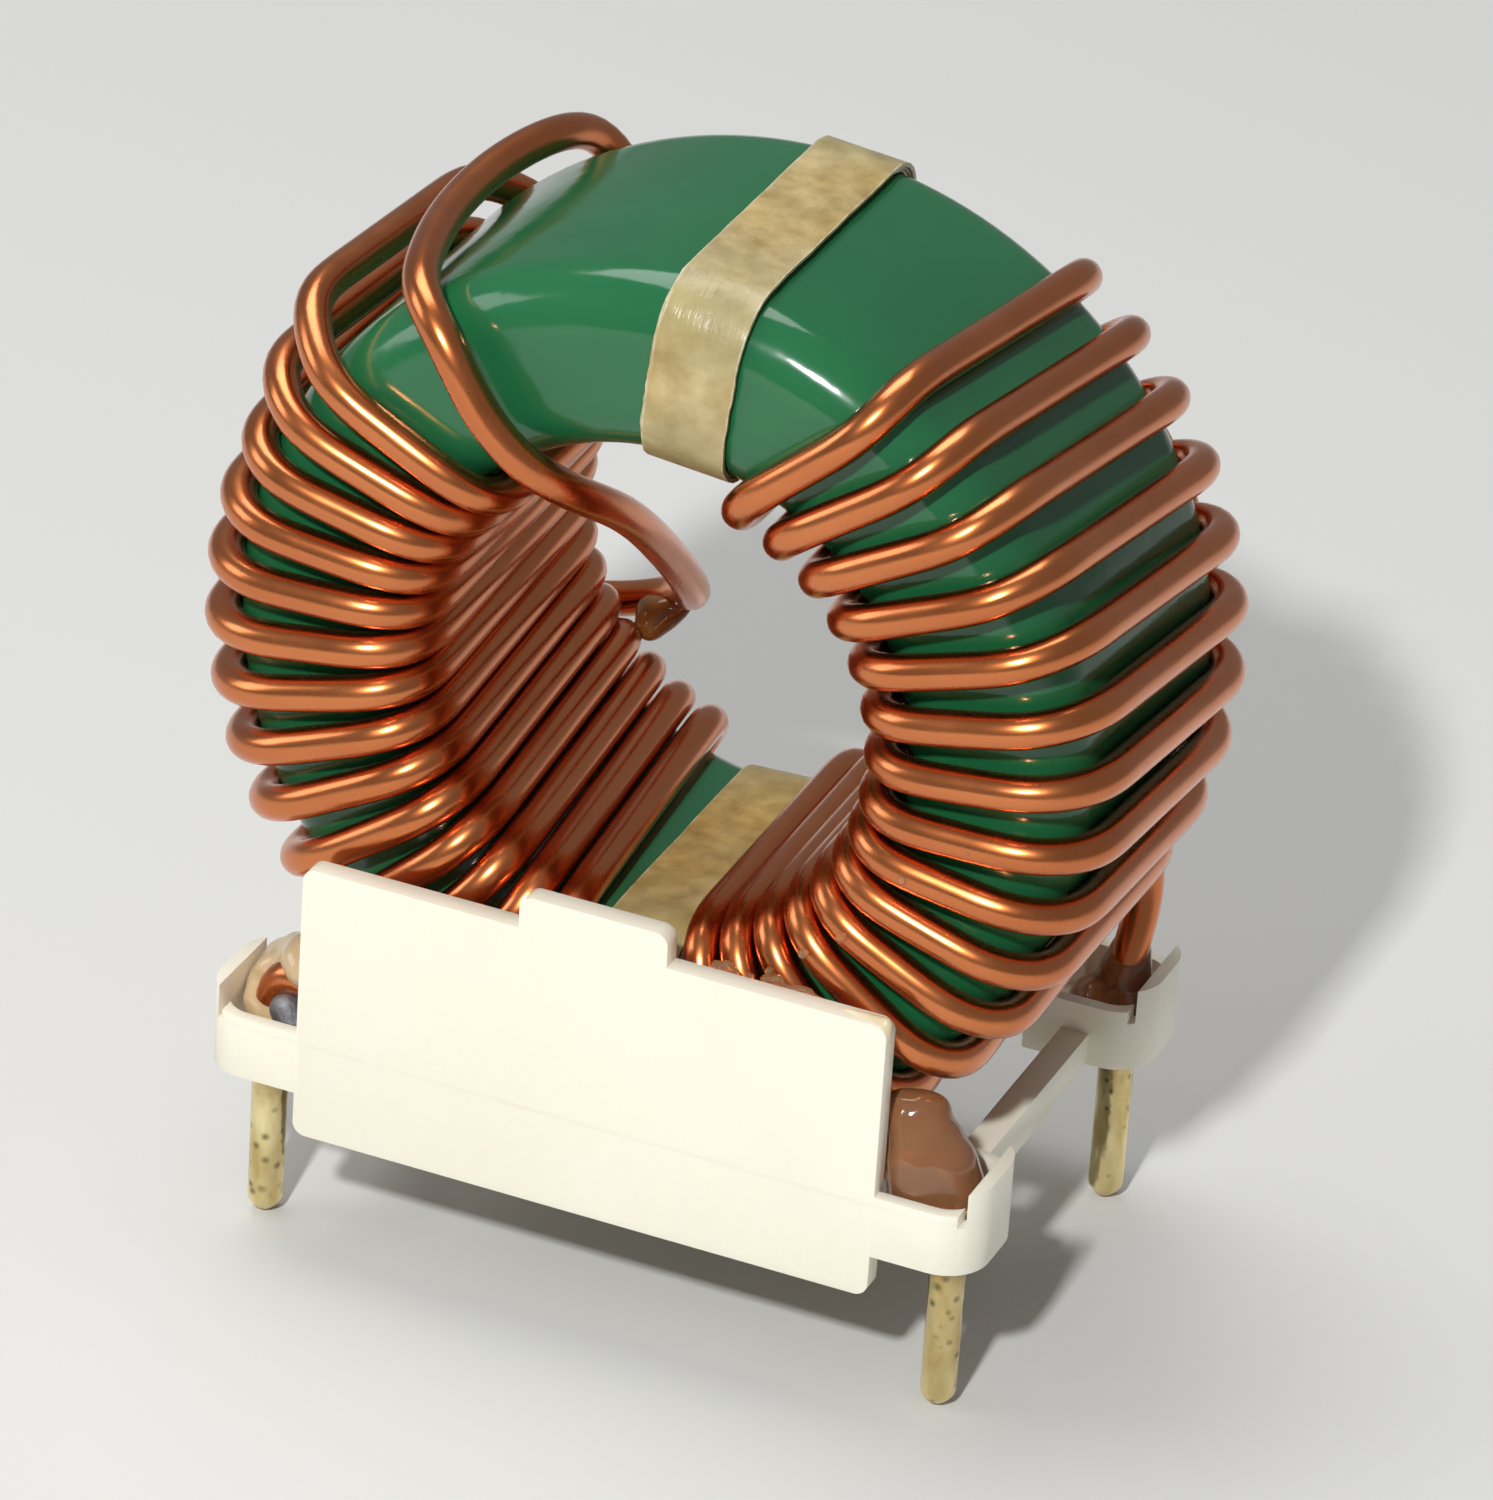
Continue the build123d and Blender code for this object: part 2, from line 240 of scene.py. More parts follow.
def speck_group():
    """Small round specks: one in the middle of a cell, larger where a slow noise is high."""
    group = value_group(
        "specks",
        (
            ("Vector", "NodeSocketVector", None),
            ("Scale", "NodeSocketFloat", 600.0),
            ("Size", "NodeSocketFloat", 0.2),
        ),
        (("Mask", "NodeSocketFloat"),),
    )
    entry = group.nodes.new("NodeGroupInput")
    leave = group.nodes.new("NodeGroupOutput")
    cells = group.nodes.new("ShaderNodeTexVoronoi")
    patch = group.nodes.new("ShaderNodeTexNoise")
    patch.inputs["Scale"].default_value = 180.0
    reach = group.nodes.new("ShaderNodeMath")
    reach.operation = "MULTIPLY"
    mask = group.nodes.new("ShaderNodeMapRange")
    mask.inputs["From Max"].default_value = 0.0
    group.links.new(entry.outputs["Vector"], cells.inputs["Vector"])
    group.links.new(entry.outputs["Scale"], cells.inputs["Scale"])
    group.links.new(entry.outputs["Vector"], patch.inputs["Vector"])
    group.links.new(entry.outputs["Size"], reach.inputs[0])
    group.links.new(patch.outputs["Fac"], reach.inputs[1])
    group.links.new(cells.outputs["Distance"], mask.inputs["Value"])
    group.links.new(reach.outputs["Value"], mask.inputs["From Min"])
    group.links.new(mask.outputs["Result"], leave.inputs["Mask"])
    return group


specks = speck_group()


class Finish:
    """A material with one plain shader, whose sockets take values or nodes over the surface."""

    def __init__(self, name, **values):
        self.material = bpy.data.materials.new(name)
        self.material.use_nodes = True
        self.tree = self.material.node_tree
        self.shader = self.tree.nodes["Principled BSDF"]
        self.place = self.tree.nodes.new("ShaderNodeTexCoord").outputs["Object"]
        for socket, value in values.items():
            self.shader.inputs[socket.replace("_", " ")].default_value = value

    def attribute(self, name, output):
        """What the mesh stores at each point under a name."""
        node = self.tree.nodes.new("ShaderNodeAttribute")
        node.attribute_name = name
        return node.outputs[output]

    def group(self, group, output, stretch=None, place=None, **values):
        """A shared group over the surface, or over another place, with its own values."""
        node = self.tree.nodes.new("ShaderNodeGroup")
        node.node_tree = group
        place = place or self.place
        if stretch is not None:
            drawn = self.tree.nodes.new("ShaderNodeMapping")
            drawn.inputs["Scale"].default_value = stretch
            self.tree.links.new(place, drawn.inputs["Vector"])
            place = drawn.outputs["Vector"]
        self.tree.links.new(place, node.inputs["Vector"])
        for socket, value in values.items():
            node.inputs[socket].default_value = value
        return node.outputs[output]

    def mix(self, mask, first, second):
        """Two colours or colour outputs, parted by a mask."""
        node = self.tree.nodes.new("ShaderNodeMix")
        node.data_type = "RGBA"
        self.tree.links.new(mask, node.inputs["Factor"])
        for socket, colour in (("A", first), ("B", second)):
            side = [each for each in node.inputs if each.name == socket and each.type == "RGBA"][0]
            if isinstance(colour, tuple):
                side.default_value = colour
            else:
                self.tree.links.new(colour, side)
        return [each for each in node.outputs if each.type == "RGBA"][0]

    def bump(self, height, depth, under=None):
        """Relief of a depth in metres, laid over the relief under it."""
        node = self.tree.nodes.new("ShaderNodeBump")
        node.inputs["Distance"].default_value = depth
        self.tree.links.new(height, node.inputs["Height"])
        if under is not None:
            self.tree.links.new(under, node.inputs["Normal"])
        return node.outputs["Normal"]

    def feed(self, output, socket):
        """Links an output to a socket of the shader."""
        self.tree.links.new(output, self.shader.inputs[socket])


core_coat = Finish("green_epoxy_coat", Roughness=0.13, IOR=1.55)
core_shade = core_coat.group(mottle, "Value", Scale=90.0)
core_coat.feed(core_coat.mix(core_shade, core_dark_green, core_light_green), "Base Color")
core_coat.feed(core_coat.group(mottle, "Value", Scale=260.0, Low=0.08, High=0.17), "Roughness")
core_slow = core_coat.group(mottle, "Value", Scale=110.0, Detail=1.0)
core_waves = core_coat.bump(core_slow, depth=0.00006)
core_fine = core_coat.group(mottle, "Value", Scale=550.0, Detail=2.0)
core_coat.feed(core_coat.bump(core_fine, depth=0.000010, under=core_waves), "Normal")

core_section = rounded_section(0, core_shoulder_radius, core_shoulder_steps)
core_mesh = turned_mesh("ring_core", core_section, core_steps)
ring_core = link_piece("ring_core", core_mesh, core_coat.material, ("core",))

# Separator tapes. Glazed glass-cloth tape wound in three layers round the ring's section, at the
# top and at the bottom, where it keeps the two windings apart. Its own adhesive holds it.
tape_half_width = 0.00185
tape_layer = 0.00014
tape_layers = 3
tape_top_angle = 84.6
tape_bottom_angle = -87.4
tape_first_lift = 0.6 * tape_layer
tape_skew = 0.00009
tape_wander = 0.00004
tape_raggedness = 0.00003
tape_crown = (1, 0.95, 0.6, 0, -0.6, -0.95, -1)
tape_bend_steps = 8
tape_flat_steps = 10
tape_bend_darkening = 0.6
tape_edge_fray = 0.75
tape_thread_stretch = (1, 0.06, 0.06)
tape_dark_gold = (0.32, 0.190, 0.036, 1)
tape_light_gold = (0.57, 0.400, 0.11, 1)
tape_dark_straw = (0.33, 0.265, 0.13, 1)
tape_light_straw = (0.54, 0.46, 0.28, 1)
tape_bend_darker = (0.27, 0.25, 0.12, 1)
tape_loose_thread = (0.74, 0.70, 0.56, 1)

tape_cloth = Finish("glazed_glass_tape", Roughness=0.35, IOR=1.5)
tape_threads = tape_cloth.group(mottle, "Value", stretch=tape_thread_stretch, Scale=3000.0, Detail=4.0)
tape_blotch = tape_cloth.group(mottle, "Value", Scale=750.0, Detail=6.0)
tape_patch = tape_cloth.group(mottle, "Value", Scale=130.0, Detail=3.0)
tape_gold = tape_cloth.mix(tape_blotch, tape_dark_gold, tape_light_gold)
tape_straw = tape_cloth.mix(tape_blotch, tape_dark_straw, tape_light_straw)
tape_shade = tape_cloth.mix(tape_patch, tape_gold, tape_straw)
# The colour goes darker towards the middle of each bend of the section.
tape_bend = tape_cloth.mix(tape_cloth.attribute("bend", "Fac"), tape_shade, tape_bend_darker)
tape_fray = tape_cloth.tree.nodes.new("ShaderNodeMath")
tape_fray.operation = "MULTIPLY"
tape_cloth.tree.links.new(tape_cloth.attribute("frayed", "Fac"), tape_fray.inputs[0])
tape_cloth.tree.links.new(tape_cloth.group(mottle, "Value", Scale=1600.0, Detail=3.0), tape_fray.inputs[1])
tape_cloth.feed(tape_cloth.mix(tape_fray.outputs["Value"], tape_bend, tape_loose_thread), "Base Color")
tape_cloth.feed(tape_cloth.group(mottle, "Value", Scale=500.0, Low=0.2, High=0.48), "Roughness")
tape_grain = tape_cloth.bump(tape_threads, depth=0.00002)
tape_cloth.feed(tape_cloth.bump(tape_blotch, depth=0.00004, under=tape_grain), "Normal")


def tape_band(name, angle, node):
    """Layers of tape round the section at one angle, each a little askew on the last."""
    outward = on_ring(angle, 1, 0) - on_ring(angle, 0, 0)
    along = on_ring(angle + 90, 1, 0) - on_ring(angle + 90, 0, 0)
    centre = on_ring(angle, 0, 0)
    band = bmesh.new()
    bend_layer = band.verts.layers.float.new("bend")
    fray_layer = band.verts.layers.float.new("frayed")
    shuffle = random.Random(int(angle))
    for layer in range(tape_layers):
        outset = layer * tape_layer + tape_first_lift
        skew = (1 - layer) * tape_skew + shuffle.uniform(-1, 1) * tape_wander
        shoulder = core_shoulder_radius + outset
        inner = rounded_section(outset - tape_layer / 2, shoulder, tape_bend_steps, tape_flat_steps)
        outer = rounded_section(outset + tape_layer / 2, shoulder, tape_bend_steps, tape_flat_steps)
        ragged = [[shuffle.uniform(-1, 1) * tape_raggedness for each in outer] for side in (-1, 1)]
        rings = []
        for section, sides in ((inner, (-1, 1)), (outer, tape_crown)):
            for side in sides:
                ring = []
                for step, (radius, y) in enumerate(section):
                    at_edge = abs(side) ** 8
                    reach = side * tape_half_width + skew + at_edge * ragged[int(side > 0)][step]
                    corner = band.verts.new(centre + outward * radius + Vector((0, y, 0)) + along * reach)
                    # The bend value is highest at the middle of each bend of the section, and darkens the
                    # tape there.
                    from_bend = abs(step % (tape_bend_steps + tape_flat_steps) - tape_bend_steps / 2)
                    corner[bend_layer] = max(0, 1 - from_bend / (0.9 * tape_bend_steps)) * tape_bend_darkening
                    corner[fray_layer] = tape_edge_fray if abs(side) == 1 and section is outer else 0
                    ring.append(corner)
                rings.append(ring)
        for first, second in zip(rings, rings[1:] + rings[:1]):
            for step in range(len(first)):
                beside = (step + 1) % len(first)
                band.faces.new((first[step], first[beside], second[beside], second[step]))
    bmesh.ops.recalc_face_normals(band, faces=band.faces)
    mesh = bpy.data.meshes.new(name)
    band.to_mesh(mesh)
    band.free()
    mesh.shade_smooth()
    mesh.set_sharp_from_angle(angle=math.radians(40))
    piece = link_piece(name, mesh, tape_cloth.material, (node,))


tape_band("tape_band_top", tape_top_angle, "separator_tape_top")
tape_band("tape_band_bottom", tape_bottom_angle, "separator_tape_bottom")

# Windings. One enamelled copper wire for each half of the ring, wound by hand from its front pin up
# the ring, with soft bends at the shoulders. Each goes through the bore and down to its rear pin.
# Angles are degrees round the ring's axis, and a pitch is the angle from one turn to the next.
wire_radius = (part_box("pin_front_left")[1].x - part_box("pin_front_left")[0].x) / 2
wire_thickness = 2 * wire_radius
wire_gap = 0.00005
outer_strand = core_radius + wire_radius + wire_gap
bore_strand = core_bore_radius - wire_radius - wire_gap
face_strand = core_half_width + wire_radius + wire_gap
crossing_y = face_strand + wire_thickness + 0.0001
bore_bend_setback = 0.00145
outer_bend_setback = 0.0019
pin_x = (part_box("pin_front_right")[0].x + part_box("pin_front_right")[1].x) / 2
pin_y = (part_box("pin_rear_right")[0].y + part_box("pin_rear_right")[1].y) / 2
pin_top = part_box("pin_front_left")[1].z
plate_edge_x = 0.0134
lead_out_height = 0.0131
lift_share = 0.7
left_turns = 14
left_first_slack_turn = 12
left_slack_step = 0.0009
left_face_start = 251
left_face_pitch = 8.45
left_bore_start = 256
left_bore_pitch = 9.4
left_bore_slant = 7
right_close_turns = 7
right_open_turns = 7
right_face_start = -69
right_face_pitch = 9.15
right_bore_start = -71.7
right_close_pitch = 9.1
right_open_pitch = 11.1
right_bore_slant = 1
right_rear_slant = 6
copper_dark = (0.60, 0.172, 0.050, 1)
copper_light = (0.71, 0.226, 0.072, 1)


def new_tree(name, sizes):
    """An empty geometry tree with the mesh input and output, and named inputs for its sizes."""
    tree = bpy.data.node_groups.new(name, "GeometryNodeTree")
    tree.interface.new_socket("Geometry", in_out="INPUT", socket_type="NodeSocketGeometry")
    for socket, kind in sizes:
        tree.interface.new_socket(socket, in_out="INPUT", socket_type=kind)
    tree.interface.new_socket("Geometry", in_out="OUTPUT", socket_type="NodeSocketGeometry")
    return tree, tree.nodes.new("NodeGroupInput"), tree.nodes.new("NodeGroupOutput")


def finish_tree(tree, entry, leave, shape):
    """Smooth shading, real geometry and the material end every tree."""
    smooth = tree.nodes.new("GeometryNodeSetShadeSmooth")
    real = tree.nodes.new("GeometryNodeRealizeInstances")
    coat = tree.nodes.new("GeometryNodeSetMaterial")
    tree.links.new(shape, smooth.inputs["Geometry"])
    tree.links.new(smooth.outputs["Geometry"], real.inputs["Geometry"])
    tree.links.new(real.outputs["Geometry"], coat.inputs["Geometry"])
    tree.links.new(entry.outputs["Material"], coat.inputs["Material"])
    tree.links.new(coat.outputs["Geometry"], leave.inputs["Geometry"])


def grown_mesh(name, tree, seed, values):
    """Runs a geometry tree over a seed mesh, and returns the plain mesh that it makes."""
    holder = bpy.data.objects.new(name + "_seed", seed)
    modifier = holder.modifiers.new("grow", "NODES")
    modifier.node_group = tree
    for item in tree.interface.items_tree:
        if item.in_out == "INPUT" and item.name in values:
            modifier[item.identifier] = values[item.name]
    collection.objects.link(holder)
    bpy.context.view_layer.update()
    evaluated = holder.evaluated_get(bpy.context.evaluated_depsgraph_get())
    grown = bpy.data.meshes.new_from_object(evaluated)
    grown.name = name
    holder.modifiers.remove(modifier)
    bpy.data.objects.remove(holder)
    return grown


def turn_points(face_front, bore_front, bore_rear, face_rear, lift=0.0):
    """One turn round the section, each of its four bends cut across by two points."""
    outer = outer_strand + lift
    setback = outer_bend_setback + lift_share * lift
    return [
        on_ring(face_front, outer, setback - face_strand),
        on_ring(face_front, outer - setback, -face_strand),
        on_ring(bore_front, bore_strand + bore_bend_setback, -face_strand),
        on_ring(bore_front, bore_strand, bore_bend_setback - face_strand),
        on_ring(bore_rear, bore_strand, face_strand - bore_bend_setback),
        on_ring(bore_rear, bore_strand + bore_bend_setback, face_strand),
        on_ring(face_rear, outer - setback, face_strand),
        on_ring(face_rear, outer, face_strand - setback),
    ]


def front_lead_in(side, face_angle):
    """From the front pin out of its ear and under the turns to the first front strand."""
    under = outer_strand + wire_thickness
    return [
        Vector((side * pin_x, -pin_y, pin_top)),
        Vector((side * pin_x, -pin_y, pin_top + wire_thickness)),
        Vector((side * (pin_x - 0.75 * wire_thickness), -face_strand, pin_top + 1.6 * wire_thickness)),
        on_ring(face_angle + side * 16, under, -face_strand),
        on_ring(face_angle + side * 5.3, under, -face_strand),
        on_ring(face_angle, under - wire_radius / 2, -face_strand),
    ]


def rear_lead_out(side):
    """Down the rear of the ring, outside the rear plate, into the rear ear and to the rear pin."""
    shoulder = lead_out_height - 0.45 * wire_thickness
    return [
        Vector((side * (pin_x - 0.3 * wire_thickness), crossing_y, shoulder)),
        Vector((side * pin_x, crossing_y, shoulder - 2.4 * wire_thickness)),
        Vector((side * pin_x, pin_y, pin_top + 0.9 * wire_thickness)),
        Vector((side * pin_x, pin_y, pin_top)),
    ]


def loose_turn():
    """The last left turn: it stands off the ring, slants over the bore and goes out at the rear."""
    thick = wire_thickness
    outer = outer_strand
    bore = bore_strand
    face = face_strand
    return [
        on_ring(124.5, outer - 1.25 * thick, face + 0.1 * thick),
        on_ring(124.6, outer - 0.4 * thick, face - 0.2 * thick),
        on_ring(124.2, outer + 0.4 * thick, 0.67 * face),
        on_ring(126.1, outer + 0.75 * thick, 0.26 * face),
        on_ring(126.8, outer + 0.7 * thick, -0.15 * face),
        on_ring(125.5, outer + 0.4 * thick, -0.56 * face),
        on_ring(123.1, outer - 0.2 * thick, 0.5 * thick - face),
        on_ring(120.4, outer - 1.4 * thick, -0.35 * thick - face),
        on_ring(119.9, bore + 2.7 * thick, -0.4 * thick - face),
        on_ring(117.2, bore + 1.05 * thick, -0.2 * thick - face),
        on_ring(114.3, bore - 0.25 * thick, 0.8 * thick - face),
        on_ring(116.6, 0.69 * bore, -0.46 * face),
        on_ring(161.6, 0.37 * bore, 0.21 * face),
        on_ring(217.1, 0.59 * bore, 0.82 * face),
        on_ring(219.7, 0.82 * bore, crossing_y - 0.45 * thick),
        on_ring(216.6, bore + 0.75 * thick, crossing_y),
        Vector((0.4 * thick - plate_edge_x, crossing_y, lead_out_height + 1.15 * thick)),
    ]


def soft_line(points, steps=5):
    """A soft curve through the same points, for the lengths that hang free."""
    line = []
    for place in range(len(points) - 1):
        start = points[place]
        end = points[place + 1]
        before = points[place - 1] if place > 0 else start - (end - start)
        after = points[place + 2] if place + 2 < len(points) else end + (end - start)
        hops = ((before, start), (start, end), (end, after))
        span = [max((second - first).length, 1e-6) ** 0.5 for first, second in hops]
        leave = (start - before) / span[0] - (end - before) / (span[0] + span[1]) + (end - start) / span[1]
        enter = (end - start) / span[1] - (after - start) / (span[1] + span[2]) + (after - end) / span[2]
        leave *= span[1]
        enter *= span[1]
        for step in range(steps):
            part = step / steps
            line.append(
                (2 * part**3 - 3 * part**2 + 1) * start
                + (part**3 - 2 * part**2 + part) * leave
                + (3 * part**2 - 2 * part**3) * end
                + (part**3 - part**2) * enter
            )
    return line + [points[-1]]


def left_route():
    """The left wire: close turns up the ring, then two slack turns and the loose one."""
    route = front_lead_in(-1, left_face_start)
    for turn in range(left_turns):
        face_front = left_face_start - left_face_pitch * turn
        bore_front = left_bore_start - left_bore_pitch * turn
        bore_rear = bore_front - left_bore_slant
        face_rear = (bore_rear + face_front - left_face_pitch) / 2
        lift = left_slack_step * max(turn - left_first_slack_turn + 1, 0)
        corners = turn_points(face_front, bore_front, bore_rear, face_rear, lift)
        route += corners[2:] if turn == 0 else corners
    return route[:-3] + soft_line(route[-3:-2] + loose_turn() + rear_lead_out(-1))


def right_rear_run():
    """The last right strand comes out over the rear strands and follows the ring down."""
    thick = wire_thickness
    return [
        on_ring(64.5, bore_strand + 1.9 * thick, crossing_y - 0.45 * thick),
        on_ring(57, bore_strand + 2.75 * thick, crossing_y),
        on_ring(38, outer_strand - 2.9 * thick, crossing_y),
        on_ring(18, outer_strand - 2.4 * thick, crossing_y),
        on_ring(0, outer_strand - 2 * thick, crossing_y),
        on_ring(-17, outer_strand - 1.6 * thick, crossing_y),
    ]


def right_face_angle(turn):
    """Where a right turn crosses the front shoulder of the ring."""
    return right_face_pitch * turn + right_face_start


def right_bore_angle(turn):
    """Where a right turn goes into the bore: closely at the bottom, and more openly above."""
    close = min(turn, right_close_turns)
    return right_close_pitch * close + right_open_pitch * (turn - close) + right_bore_start


def right_route():
    """The right wire: close turns at the bottom of the bore, then turns that open out."""
    route = front_lead_in(1, right_face_start)
    for turn in range(right_close_turns + right_open_turns + 1):
        face_front = right_face_angle(turn)
        bore_front = right_bore_angle(turn)
        bore_rear = bore_front - right_bore_slant
        face_rear = face_front + right_face_pitch - right_rear_slant
        corners = turn_points(face_front, bore_front, bore_rear, face_rear)
        route += corners[2:] if turn == 0 else corners
    return route[:-3] + soft_line(route[-3:-2] + right_rear_run() + rear_lead_out(1))


def wire_tree():
    """Round wire along a route: its corners are rounded and eased, and a circle is swept along it."""
    tree, entry, leave = new_tree(
        "wire_along_route",
        (
            ("Wire Radius", "NodeSocketFloat"),
            ("Bend Radius", "NodeSocketFloat"),
            ("Bend Steps", "NodeSocketInt"),
            ("Step", "NodeSocketFloat"),
            ("Easing", "NodeSocketInt"),
            ("Wire Sides", "NodeSocketInt"),
            ("Material", "NodeSocketMaterial"),
        ),
    )
    route = tree.nodes.new("GeometryNodeMeshToCurve")
    bends = tree.nodes.new("GeometryNodeFilletCurve")
    bends.mode = "POLY"
    bends.inputs["Limit Radius"].default_value = True
    even = tree.nodes.new("GeometryNodeResampleCurve")
    even.mode = "LENGTH"
    place = tree.nodes.new("GeometryNodeInputPosition")
    ease = tree.nodes.new("GeometryNodeBlurAttribute")
    ease.data_type = "FLOAT_VECTOR"
    eased = tree.nodes.new("GeometryNodeSetPosition")
    section = tree.nodes.new("GeometryNodeCurvePrimitiveCircle")
    skin = tree.nodes.new("GeometryNodeCurveToMesh")
    skin.inputs["Fill Caps"].default_value = True
    tree.links.new(entry.outputs["Geometry"], route.inputs["Mesh"])
    tree.links.new(route.outputs["Curve"], bends.inputs["Curve"])
    tree.links.new(entry.outputs["Bend Radius"], bends.inputs["Radius"])
    tree.links.new(entry.outputs["Bend Steps"], bends.inputs["Count"])
    tree.links.new(entry.outputs["Wire Sides"], section.inputs["Resolution"])
    tree.links.new(entry.outputs["Wire Radius"], section.inputs["Radius"])
    tree.links.new(bends.outputs["Curve"], even.inputs["Curve"])
    tree.links.new(entry.outputs["Step"], even.inputs["Length"])
    tree.links.new(place.outputs["Position"], ease.inputs["Value"])
    tree.links.new(entry.outputs["Easing"], ease.inputs["Iterations"])
    tree.links.new(even.outputs["Curve"], eased.inputs["Geometry"])
    tree.links.new(ease.outputs["Value"], eased.inputs["Position"])
    along = tree.nodes.new("GeometryNodeStoreNamedAttribute")
    along.inputs["Name"].default_value = "along"
    around = tree.nodes.new("GeometryNodeStoreNamedAttribute")
    around.inputs["Name"].default_value = "around"
    travel = tree.nodes.new("GeometryNodeSplineParameter")
    tree.links.new(eased.outputs["Geometry"], along.inputs["Geometry"])
    tree.links.new(travel.outputs["Length"], along.inputs["Value"])
    tree.links.new(section.outputs["Curve"], around.inputs["Geometry"])
    tree.links.new(travel.outputs["Factor"], around.inputs["Value"])
    tree.links.new(along.outputs["Geometry"], skin.inputs["Curve"])
    tree.links.new(around.outputs["Geometry"], skin.inputs["Profile Curve"])
    finish_tree(tree, entry, leave, skin.outputs["Mesh"])
    return tree


def drawn_place(mesh):
    """Stores where each point lies on the wire: round its girth, and far shortened along it."""
    length_share = 0.05
    place = mesh.attributes.new("drawn_place", "FLOAT_VECTOR", "POINT")
    along = mesh.attributes["along"].data
    around = mesh.attributes["around"].data
    for item, length, girth in zip(place.data, along, around):
        angle = 2 * math.pi * girth.value
        x = wire_radius * math.cos(angle)
        y = wire_radius * math.sin(angle)
        item.vector = (x, y, length_share * length.value)


copper = Finish(
    "enamelled_copper", Metallic=1.0, Roughness=0.28, Coat_Weight=0.35, Coat_Roughness=0.12, Coat_IOR=1.6
)
copper_shade = copper.group(mottle, "Value", Scale=120.0)
copper.feed(copper.mix(copper_shade, copper_dark, copper_light), "Base Color")
copper.feed(copper.group(mottle, "Value", Scale=400.0, Low=0.23, High=0.31), "Roughness")
copper_drawn = copper.attribute("drawn_place", "Vector")
copper_streaks = copper.group(mottle, "Value", place=copper_drawn, Scale=2600.0)
copper_lines = copper.bump(copper_streaks, depth=0.000006)
copper_dents = copper.group(mottle, "Value", Scale=500.0, Detail=1.0)
copper.feed(copper.bump(copper_dents, depth=0.000006, under=copper_lines), "Normal")

wire_pull = wire_tree()
wire_sizes = {
    "Wire Radius": wire_radius,
    "Bend Radius": 0.0036,
    "Bend Steps": 6,
    "Step": 0.0006,
    "Easing": 3,
    "Wire Sides": 24,
    "Material": copper.material,
}
for winding_name, winding_route, winding_node in (
    ("coil_left", left_route(), "winding_left"),
    ("coil_right", right_route(), "winding_right"),
):
    route_points = [tuple(point) for point in winding_route]
    route_edges = [(step, step + 1) for step in range(len(route_points) - 1)]
    route_seed = bpy.data.meshes.new(winding_name + "_route")
    route_seed.from_pydata(route_points, route_edges, [])
    winding_mesh = grown_mesh(winding_name, wire_pull, route_seed, wire_sizes)
    drawn_place(winding_mesh)
    winding = link_piece(winding_name, winding_mesh, copper.material, (winding_node,))

# Base frame. One moulding in cream-white nylon: two plates, four ears that hold the wire ends, and
# two rails. Its edges are softly rounded, and a faint mould line runs along the plates.
frame_edge_radius = 0.00018
frame_edge_steps = 2
mould_line_height = 0.0045
mould_line_width = 0.00012
nylon_dark_cream = (0.84, 0.805, 0.66, 1)
nylon_light_cream = (0.87, 0.845, 0.72, 1)
nylon_dirt = (0.05, 0.04, 0.03, 1)


def softened_copy(name, node, width, segments):
    """A copy of a node's mesh with its flat faces joined and its sharp edges rounded."""
    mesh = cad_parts[node].data.copy()
    mesh.name = name
    work = bmesh.new()
    work.from_mesh(mesh)
    bmesh.ops.remove_doubles(work, verts=work.verts, dist=2e-6)
    bmesh.ops.dissolve_limit(work, angle_limit=math.radians(1), verts=work.verts, edges=work.edges)
    bmesh.ops.recalc_face_normals(work, faces=work.faces)
    folded = [edge for edge in work.edges if edge.is_manifold]
    sharp = [edge for edge in folded if edge.calc_face_angle() > math.radians(30)]
    bmesh.ops.bevel(
        work, geom=sharp, offset=width, segments=segments, affect="EDGES", profile=0.5, clamp_overlap=True
    )
    work.to_mesh(mesh)
    work.free()
    mesh.shade_smooth()
    mesh.set_sharp_from_angle(angle=math.radians(35))
    return mesh


nylon = Finish("cream_nylon", Roughness=0.38, IOR=1.5, Subsurface_Weight=0.12, Subsurface_Scale=0.0008)
nylon_shade = nylon.group(mottle, "Value", Scale=70.0)
nylon_clean = nylon.mix(nylon_shade, nylon_dark_cream, nylon_light_cream)
nylon_specks = nylon.group(specks, "Mask", Scale=300.0, Size=0.05)
nylon.feed(nylon.mix(nylon_specks, nylon_clean, nylon_dirt), "Base Color")
nylon.feed(nylon.group(mottle, "Value", Scale=300.0, Low=0.32, High=0.46), "Roughness")
nylon_axes = nylon.tree.nodes.new("ShaderNodeSeparateXYZ")
nylon_from_line = nylon.tree.nodes.new("ShaderNodeMath")
nylon_from_line.operation = "COMPARE"
nylon_from_line.inputs[1].default_value = mould_line_height
nylon_from_line.inputs[2].default_value = mould_line_width / 2
nylon.tree.links.new(nylon.place, nylon_axes.inputs["Vector"])
nylon.tree.links.new(nylon_axes.outputs["Z"], nylon_from_line.inputs[0])
nylon_line = nylon.bump(nylon_from_line.outputs["Value"], depth=0.00002)
nylon_grain = nylon.group(mottle, "Value", Scale=1800.0)
nylon.feed(nylon.bump(nylon_grain, depth=0.000006, under=nylon_line), "Normal")

frame_mesh = softened_copy("moulded_frame", "base_frame", frame_edge_radius, frame_edge_steps)
moulded_frame = link_piece("moulded_frame", frame_mesh, nylon.material, ("base_frame",))

